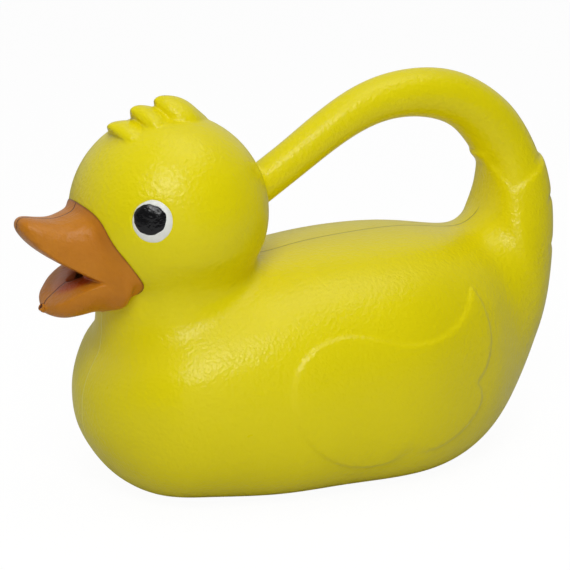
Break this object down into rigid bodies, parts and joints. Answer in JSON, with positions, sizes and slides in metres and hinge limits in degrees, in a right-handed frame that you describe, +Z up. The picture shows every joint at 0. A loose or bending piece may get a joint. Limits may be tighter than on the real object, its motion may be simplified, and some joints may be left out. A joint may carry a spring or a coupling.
{
  "type": "duck watering can",
  "caption": "Hollow moulded duck-shaped watering can with a loop handle, an open pouring beak and a flat base to stand on.",
  "frame": {"origin": "on the flat base face, on the seam plane, under the middle of the back", "axes": "+Z up, the beak points to -X, the seam is the plane y = 0, the duck's left side is -Y"},
  "size_m": [0.3013, 0.154, 0.2011],
  "materials": {
    "yellow_plastic": "yellow moulded polyethylene, satin with fine orange peel",
    "orange_plastic": "orange moulded polyethylene, satin",
    "eye_white": "white, brushed edge",
    "pupil_black": "black, high gloss"
  },
  "bodies": {
    "root": {"left_shell": "yellow_plastic", "right_shell": "yellow_plastic", "left_beak": "orange_plastic", "right_beak": "orange_plastic", "left_eye_white": "eye_white", "right_eye_white": "eye_white", "left_pupil": "pupil_black", "right_pupil": "pupil_black"}
  },
  "joints": []
}
